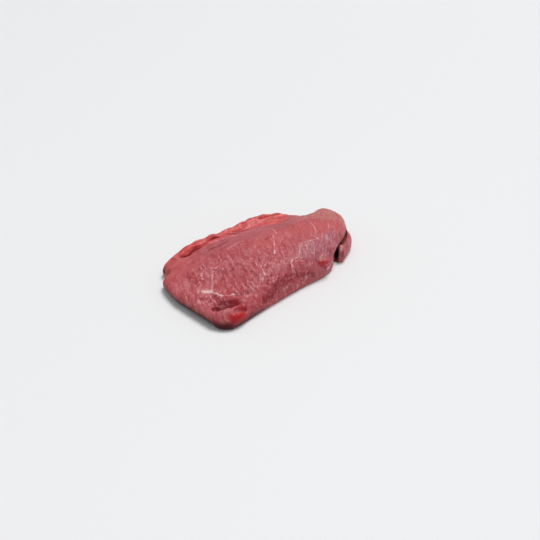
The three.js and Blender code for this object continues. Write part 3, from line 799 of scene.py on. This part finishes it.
def buildReliefTree():
    tree = bpy.data.node_groups.new("muscleRelief", "GeometryNodeTree")
    tree.interface.new_socket("Geometry", in_out="INPUT", socket_type="NodeSocketGeometry")
    for name in relief:
        tree.interface.new_socket(name, in_out="INPUT", socket_type="NodeSocketFloat")
    tree.interface.new_socket("Material", in_out="INPUT", socket_type="NodeSocketMaterial")
    tree.interface.new_socket("Geometry", in_out="OUTPUT", socket_type="NodeSocketGeometry")
    given = tree.nodes.new("NodeGroupInput").outputs
    place = tree.nodes.new("GeometryNodeInputPosition").outputs[0]
    placeMm = inMillimetres(place)
    height = addNode(tree, "ShaderNodeSeparateXYZ", {0: placeMm}).outputs["Z"]
    aboveFloor = rise(height, 0.2, 2.5)   # the underside stays flat
    total = times(reliefHeight(tree, given, placeMm), aboveFloor)
    normal = tree.nodes.new("GeometryNodeInputNormal").outputs[0]
    push = addNode(tree, "ShaderNodeVectorMath", {0: normal, "Scale": times(total, 0.001)},
                   operation="SCALE")
    kept = addNode(tree, "GeometryNodeStoreNamedAttribute",
                   {"Geometry": given["Geometry"], "Name": "relief", "Value": total},
                   data_type="FLOAT", domain="POINT")
    moved = addNode(tree, "GeometryNodeSetPosition", {"Geometry": kept.outputs[0], "Offset": push.outputs[0]})
    whole = addNode(tree, "GeometryNodeRealizeInstances", {"Geometry": moved.outputs[0]})
    painted = addNode(tree, "GeometryNodeSetMaterial",
                      {"Geometry": whole.outputs[0], "Material": given["Material"]})
    result = tree.nodes.new("NodeGroupOutput")
    tree.links.new(painted.outputs[0], result.inputs[0])
    return tree


def applyRelief(steak, material):
    tree = buildReliefTree()
    modifier = steak.modifiers.new("relief", "NODES")
    modifier.node_group = tree
    sockets = {item.name: item.identifier for item in tree.interface.items_tree if item.in_out == "INPUT"}
    for name, value in relief.items():
        modifier[sockets[name]] = float(value)
    modifier[sockets["Material"]] = material
    depsgraph = bpy.context.evaluated_depsgraph_get()
    finished = bpy.data.meshes.new_from_object(
        steak.evaluated_get(depsgraph), preserve_all_data_layers=True, depsgraph=depsgraph)
    steak.modifiers.remove(modifier)
    steak.data = finished
    print("relief done:", len(finished.polygons), "faces")


def linear(red, green, blue):   # screen colour from 0 to 255 to Blender's own
    shares = [c / 255 for c in (red, green, blue)]
    return tuple(c / 12.92 if c < 0.04 else ((c + 0.055) / 1.055)**2.4 for c in shares) + (1,)


meatColours = {
    # muscle, with a greyish tone that is partly silverskin and partly a painted sheen
    "red": linear(182, 74, 80), "pink": linear(188, 92, 98), "deep": linear(142, 42, 52),
    "pale": linear(230, 158, 158), "calm": linear(194, 82, 84), "silverskinAndSheen": linear(168, 92, 96),
    "haze": linear(158, 90, 106), "hazePale": linear(206, 150, 158),
    # torn strip and lobe, with a painted highlight on the ridges and painted shade in the gaps and furrows
    "torn": linear(208, 78, 78), "tornHighlight": linear(236, 126, 118), "gapShade": linear(150, 26, 38),
    # the pale edge is partly a thin film and partly a painted highlight
    "edge": linear(214, 150, 148), "cap": linear(190, 118, 110), "capDot": linear(220, 158, 148),
    # fat
    "fat": linear(244, 196, 194), "vein": linear(236, 172, 172),
    # painted shade for the pockets, below the lip, in the crevice and the recess above it; and the wet knobs'
    # red
    "pocket": linear(120, 14, 26), "wet": linear(188, 36, 46), "shadeBelowLip": linear(66, 5, 11),
    "crevice": linear(64, 6, 8), "hollowShade": linear(138, 66, 60),
}
# how strongly each look shows, painted shade and highlights among them
finish = {
    "calm": 0.85, "deepRed": 0.9, "blotches": 0.4, "darkStreaks": 0.45, "paleStreaks": 0.3,
    "strokes": 0.45, "marbledStrokes": 0.75, "specks": 0.25, "marbledSpecks": 0.6,
    "wisps": 0.08, "marbledWisps": 0.24, "hazeStrokes": 0.8, "capDots": 0.3,
    "torn": 0.9, "tornRidgeHighlight": 0.8, "tornGapShade": 0.7, "paleEdge": 0.6, "fatPatches": 0.9,
    "reliefHollowShade": 0.6, "farCut": 0.9, "wet": 1.0, "shadeUnderLip": 0.95, "hollowShade": 0.7, "crevice": 1.0,
    "leastRoughness": 0.38, "mostRoughness": 0.55, "wetSheen": 0.22, "tornSheen": 0.1,
    "raggedness": 1.2, "bumpStrength": 0.4, "bumpDepth": 0.00025,
}


def tint(base, name, *shares):   # lays one of the meat's colours over the base, by the product of the shares
    inputs = {0: times(*shares), 6: base, 7: meatColours[name]}
    return addNode(shares[0].id_data, "ShaderNodeMix", inputs, data_type="RGBA").outputs[2]


def shareOf(tree, name):
    return addNode(tree, "ShaderNodeAttribute", attribute_name=name).outputs["Fac"]


def fibreNoise(meat, across, along, detail):
    # leaning on the middle, lengthwise on the far side, in blotches in front
    leaning = noise(meat.swung, (across, along, across / 2), detail)
    lengthwise = noise(meat.rowPlace, (along, across, across / 2), detail)
    even = noise(meat.rowPlace, (0.7 * across, 0.7 * across, 0.5 * across), detail)
    rows = blend(meat.rowFibres, leaning, lengthwise)
    return blend(times(meat.blotchy, 0.8), rows, even)


def ragged(amount, edge, low, high):   # a mark with its edge broken by a noise
    return rise(plus(amount, times(minus(edge, 0.5), finish["raggedness"])), low, high)


def marbledShare(meat, everywhere, marbled):   # one strength for all the muscle, more where it is marbled
    spread = times(meat.lively, finish[everywhere])
    return calc("ADD", spread, times(meat.marbled, finish[marbled]), clamp=True)


def meatBasics(tree, looks):   # the shares of the looks, and places and noises that several colours use
    meat = SimpleNamespace(**{name: shareOf(tree, name) for name in looks})
    fibre = addNode(tree, "ShaderNodeAttribute", attribute_name="fibre").outputs["Vector"]
    meat.placeMm = inMillimetres(addNode(tree, "ShaderNodeTexCoord").outputs["Object"])
    sway = swayOf(meat.placeMm, 0.11, 2.0)
    meat.swung = swing(fibre, sway, (6, 6, 2))
    meat.rowPlace = swing(meat.placeMm, sway, (8, 8, 2))
    meat.lively = minus(1.0, larger(meat.tornRim, times(meat.calm, 0.6)))
    meat.marbled = times(meat.lively, larger(meat.milky, times(meat.haze, 0.8)))
    meat.blotch = evenNoise(meat.placeMm, 0.15, 3, 0.6)
    meat.broken = evenNoise(meat.placeMm, 0.42, 2)
    meat.streak = fibreNoise(meat, 0.45, 0.075, 3)
    return meat


def muscleColour(meat):   # broad drift between red muscle and paler muscle
    drift = evenNoise(meat.placeMm, 0.045, 3)
    base = tint(meatColours["red"], "pink", rise(drift, 0.36, 0.64))
    base = tint(base, "deep", rise(meat.blotch, 0.5, 0.72), finish["blotches"])
    base = tint(base, "calm", meat.calm, finish["calm"])
    deepRed = ragged(meat.deepRed, meat.broken, 0.15, 0.65)
    base = tint(base, "deep", deepRed, finish["deepRed"])
    return tint(base, "haze", meat.haze, rise(meat.blotch, 0.3, 0.6, 0.5, 0.95))


def addMarbling(base, meat):
    # long soft streaks along the fibres
    base = tint(base, "deep", rise(meat.streak, 0.5, 0.7), meat.lively, finish["darkStreaks"])
    base = tint(base, "pale", rise(meat.streak, 0.5, 0.3), meat.lively, finish["paleStreaks"])
    # short pale strokes of connective tissue
    stroke = rise(fibreNoise(meat, 0.62, 0.2, 2), 0.56, 0.7)
    base = tint(base, "pale", stroke, marbledShare(meat, "strokes", "marbledStrokes"))
    # dark specks with winding wisps between them, where the muscle is cut across
    speck = rise(noise(meat.swung, (0.42, 0.26, 0.35), 2), 0.5, 0.64)
    base = tint(base, "deep", speck, marbledShare(meat, "specks", "marbledSpecks"))
    winding = minus(noise(meat.swung, (0.26, 0.18, 0.22), 1), 0.5)
    wisp = rise(calc("ABSOLUTE", winding), 0.1, 0.0)
    patchy = rise(evenNoise(meat.placeMm, 0.3, 2), 0.4, 0.6, 0.3, 1.0)
    base = tint(base, "pale", wisp, patchy, marbledShare(meat, "wisps", "marbledWisps"))
    hazeStroke = rise(fibreNoise(meat, 0.45, 0.09, 3), 0.5, 0.66)
    return tint(base, "hazePale", hazeStroke, meat.haze, finish["hazeStrokes"])


def addLobeAndTornStrip(base, meat):
    # greyish band, partly silverskin and partly a painted sheen
    base = tint(base, "silverskinAndSheen", meat.greyBand, rise(meat.streak, 0.35, 0.65, 0.4, 0.75))
    cap = ragged(meat.lobeCap, meat.broken, 0.1, 0.9)
    base = tint(base, "cap", cap, rise(meat.blotch, 0.3, 0.6, 0.35, 0.8))
    base = tint(base, "capDot", rise(meat.broken, 0.54, 0.66), meat.lobeCap, finish["capDots"])
    # the torn strip gets a painted highlight on its ridges and painted shade between its shreds
    base = tint(base, "torn", meat.tornRim, finish["torn"])
    shred = noise(meat.placeMm, (0.22, 0.36, 0.36), 3, 0.6)
    height = plus(meat.relief, times(shred, 2.4))
    base = tint(base, "tornHighlight", meat.tornRim, rise(height, 1.1, 1.8), finish["tornRidgeHighlight"])
    base = tint(base, "gapShade", meat.tornRim, rise(height, 1.1, 0.4), finish["tornGapShade"])
    # pale edge along the far rim, partly a thin film and partly a painted highlight
    return tint(base, "edge", meat.paleEdge, finish["paleEdge"])


def addFat(base, meat):   # fat lines, broken along their length, and patches
    line = rise(calc("ABSOLUTE", meat.veinOffset), 1.3, 0.0)
    unbroken = rise(meat.broken, 0.36, 0.56, 0.25, 1.0)
    base = tint(base, "vein", line, unbroken, meat.veinStrength)
    patches = ragged(meat.fatPatch, meat.broken, 0.1, 1.1)
    return tint(base, "fat", patches, finish["fatPatches"])


def addPaintedShadeAndWet(base, meat):   # painted shade in the relief's dips, the pockets, the furrows, below the lip, in the crevice and the recess above it; the wet knobs' red
    # painted shade where the relief sinks
    base = tint(base, "deep", rise(meat.relief, 0.0, -0.5), meat.lively, finish["reliefHollowShade"])
    # painted shade in the pockets
    base = tint(base, "pocket", rise(meat.pocket, 0.0, 0.95))
    # painted shade in the furrows, below the lip, in the recess and the crevice; the wet knobs' red
    for name, colour in (("farCut", "gapShade"), ("wet", "wet"), ("shadeUnderLip", "shadeBelowLip"), ("hollowShade", "hollowShade"),
                         ("crevice", "crevice")):
        base = tint(base, colour, getattr(meat, name), finish[name])
    return base


def makeRawBeef(steak):
    material = bpy.data.materials.new("rawBeef")
    material.use_nodes = True
    tree = material.node_tree
    tree.nodes.clear()
    looks = [attribute.name for attribute in steak.data.attributes if attribute.data_type == "FLOAT"]
    meat = meatBasics(tree, looks + ["relief"])
    base = muscleColour(meat)
    for layer in (addMarbling, addLobeAndTornStrip, addFat, addPaintedShadeAndWet):
        base = layer(base, meat)

    grain = noise(meat.swung, (1.3, 0.3, 0.7), 3, 0.6)
    bump = addNode(tree, "ShaderNodeBump", {
        "Strength": finish["bumpStrength"], "Distance": finish["bumpDepth"], "Height": grain})
    sheen = larger(times(meat.wet, finish["wetSheen"]), times(meat.tornRim, finish["tornSheen"]))
    roughness = rise(grain, 0.3, 0.7, finish["leastRoughness"], finish["mostRoughness"])
    shader = addNode(tree, "ShaderNodeBsdfPrincipled", {
        "Base Color": base, "Roughness": minus(roughness, sheen), "Normal": bump.outputs[0],
        "Subsurface Weight": 0.3, "Subsurface Radius": (1.0, 0.35, 0.3), "Subsurface Scale": 0.002,
        "IOR": 1.35, "Specular IOR Level": 0.3, "Coat Weight": 0.04, "Coat Roughness": 0.2,
    })
    output = tree.nodes.new("ShaderNodeOutputMaterial")
    tree.links.new(shader.outputs[0], output.inputs[0])
    print("raw beef ready")
    return material


# Studio; the camera's eye and target are in the form's millimetres
studio = {
    "floor": (0.84, 0.84, 0.84, 1), "floorRoughness": 0.7, "floorSize": 60,
    "world": (0.96, 0.98, 1.0, 1), "worldStrength": 0.42,
    "lens": 34.89, "sensor": 36, "clipStart": 0.01,
    "eye": (-268.83, -265.01, 206.05), "target": (-7.6, -12.3, 0),
}
# soft suns: direction they shine from, width in degrees, strength
suns = [
    {"name": "key", "from": (0.5, 0.15, 1.0), "spread": 30, "strength": 2.05},
    {"name": "front", "from": (-0.2, -1.0, 0.9), "spread": 60, "strength": 0.15},
]


def makeFloor():
    bpy.ops.mesh.primitive_plane_add(size=studio["floorSize"])
    floor = bpy.context.object
    floor.name = "floor"
    paint = bpy.data.materials.new("paleFloor")
    paint.use_nodes = True
    surface = paint.node_tree.nodes["Principled BSDF"]
    surface.inputs["Base Color"].default_value = studio["floor"]
    surface.inputs["Roughness"].default_value = studio["floorRoughness"]
    floor.data.materials.append(paint)


def makeLight():
    world = bpy.data.worlds.new("studio")
    world.use_nodes = True
    background = world.node_tree.nodes["Background"]
    background.inputs["Color"].default_value = studio["world"]
    background.inputs["Strength"].default_value = studio["worldStrength"]
    bpy.context.scene.world = world
    for sun in suns:
        light = bpy.data.lights.new(sun["name"], "SUN")
        light.angle = math.radians(sun["spread"])
        light.energy = sun["strength"]
        holder = bpy.data.objects.new(sun["name"], light)
        holder.location = Vector(sun["from"]).normalized()
        holder.rotation_euler = Vector(sun["from"]).to_track_quat("Z", "Y").to_euler()
        bpy.context.scene.collection.objects.link(holder)


def makeCamera(centre):
    camera = bpy.data.cameras.new("camera")
    camera.lens = studio["lens"]
    camera.sensor_width = studio["sensor"]
    camera.clip_start = studio["clipStart"]
    viewer = bpy.data.objects.new("camera", camera)
    eye = (Vector(studio["eye"]) - Vector(centre)) / 1000
    target = (Vector(studio["target"]) - Vector(centre)) / 1000
    viewer.location = eye
    viewer.rotation_euler = (eye - target).to_track_quat("Z", "Y").to_euler()
    bpy.context.scene.collection.objects.link(viewer)
    bpy.context.scene.camera = viewer
    bpy.context.scene.view_settings.view_transform = "Standard"


steak, formCentre = makeSteakMesh()
applyRelief(steak, makeRawBeef(steak))
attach(steak, "root")
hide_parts("beef_top_blade")
makeFloor()
makeLight()
makeCamera(formCentre)
print("studio ready")
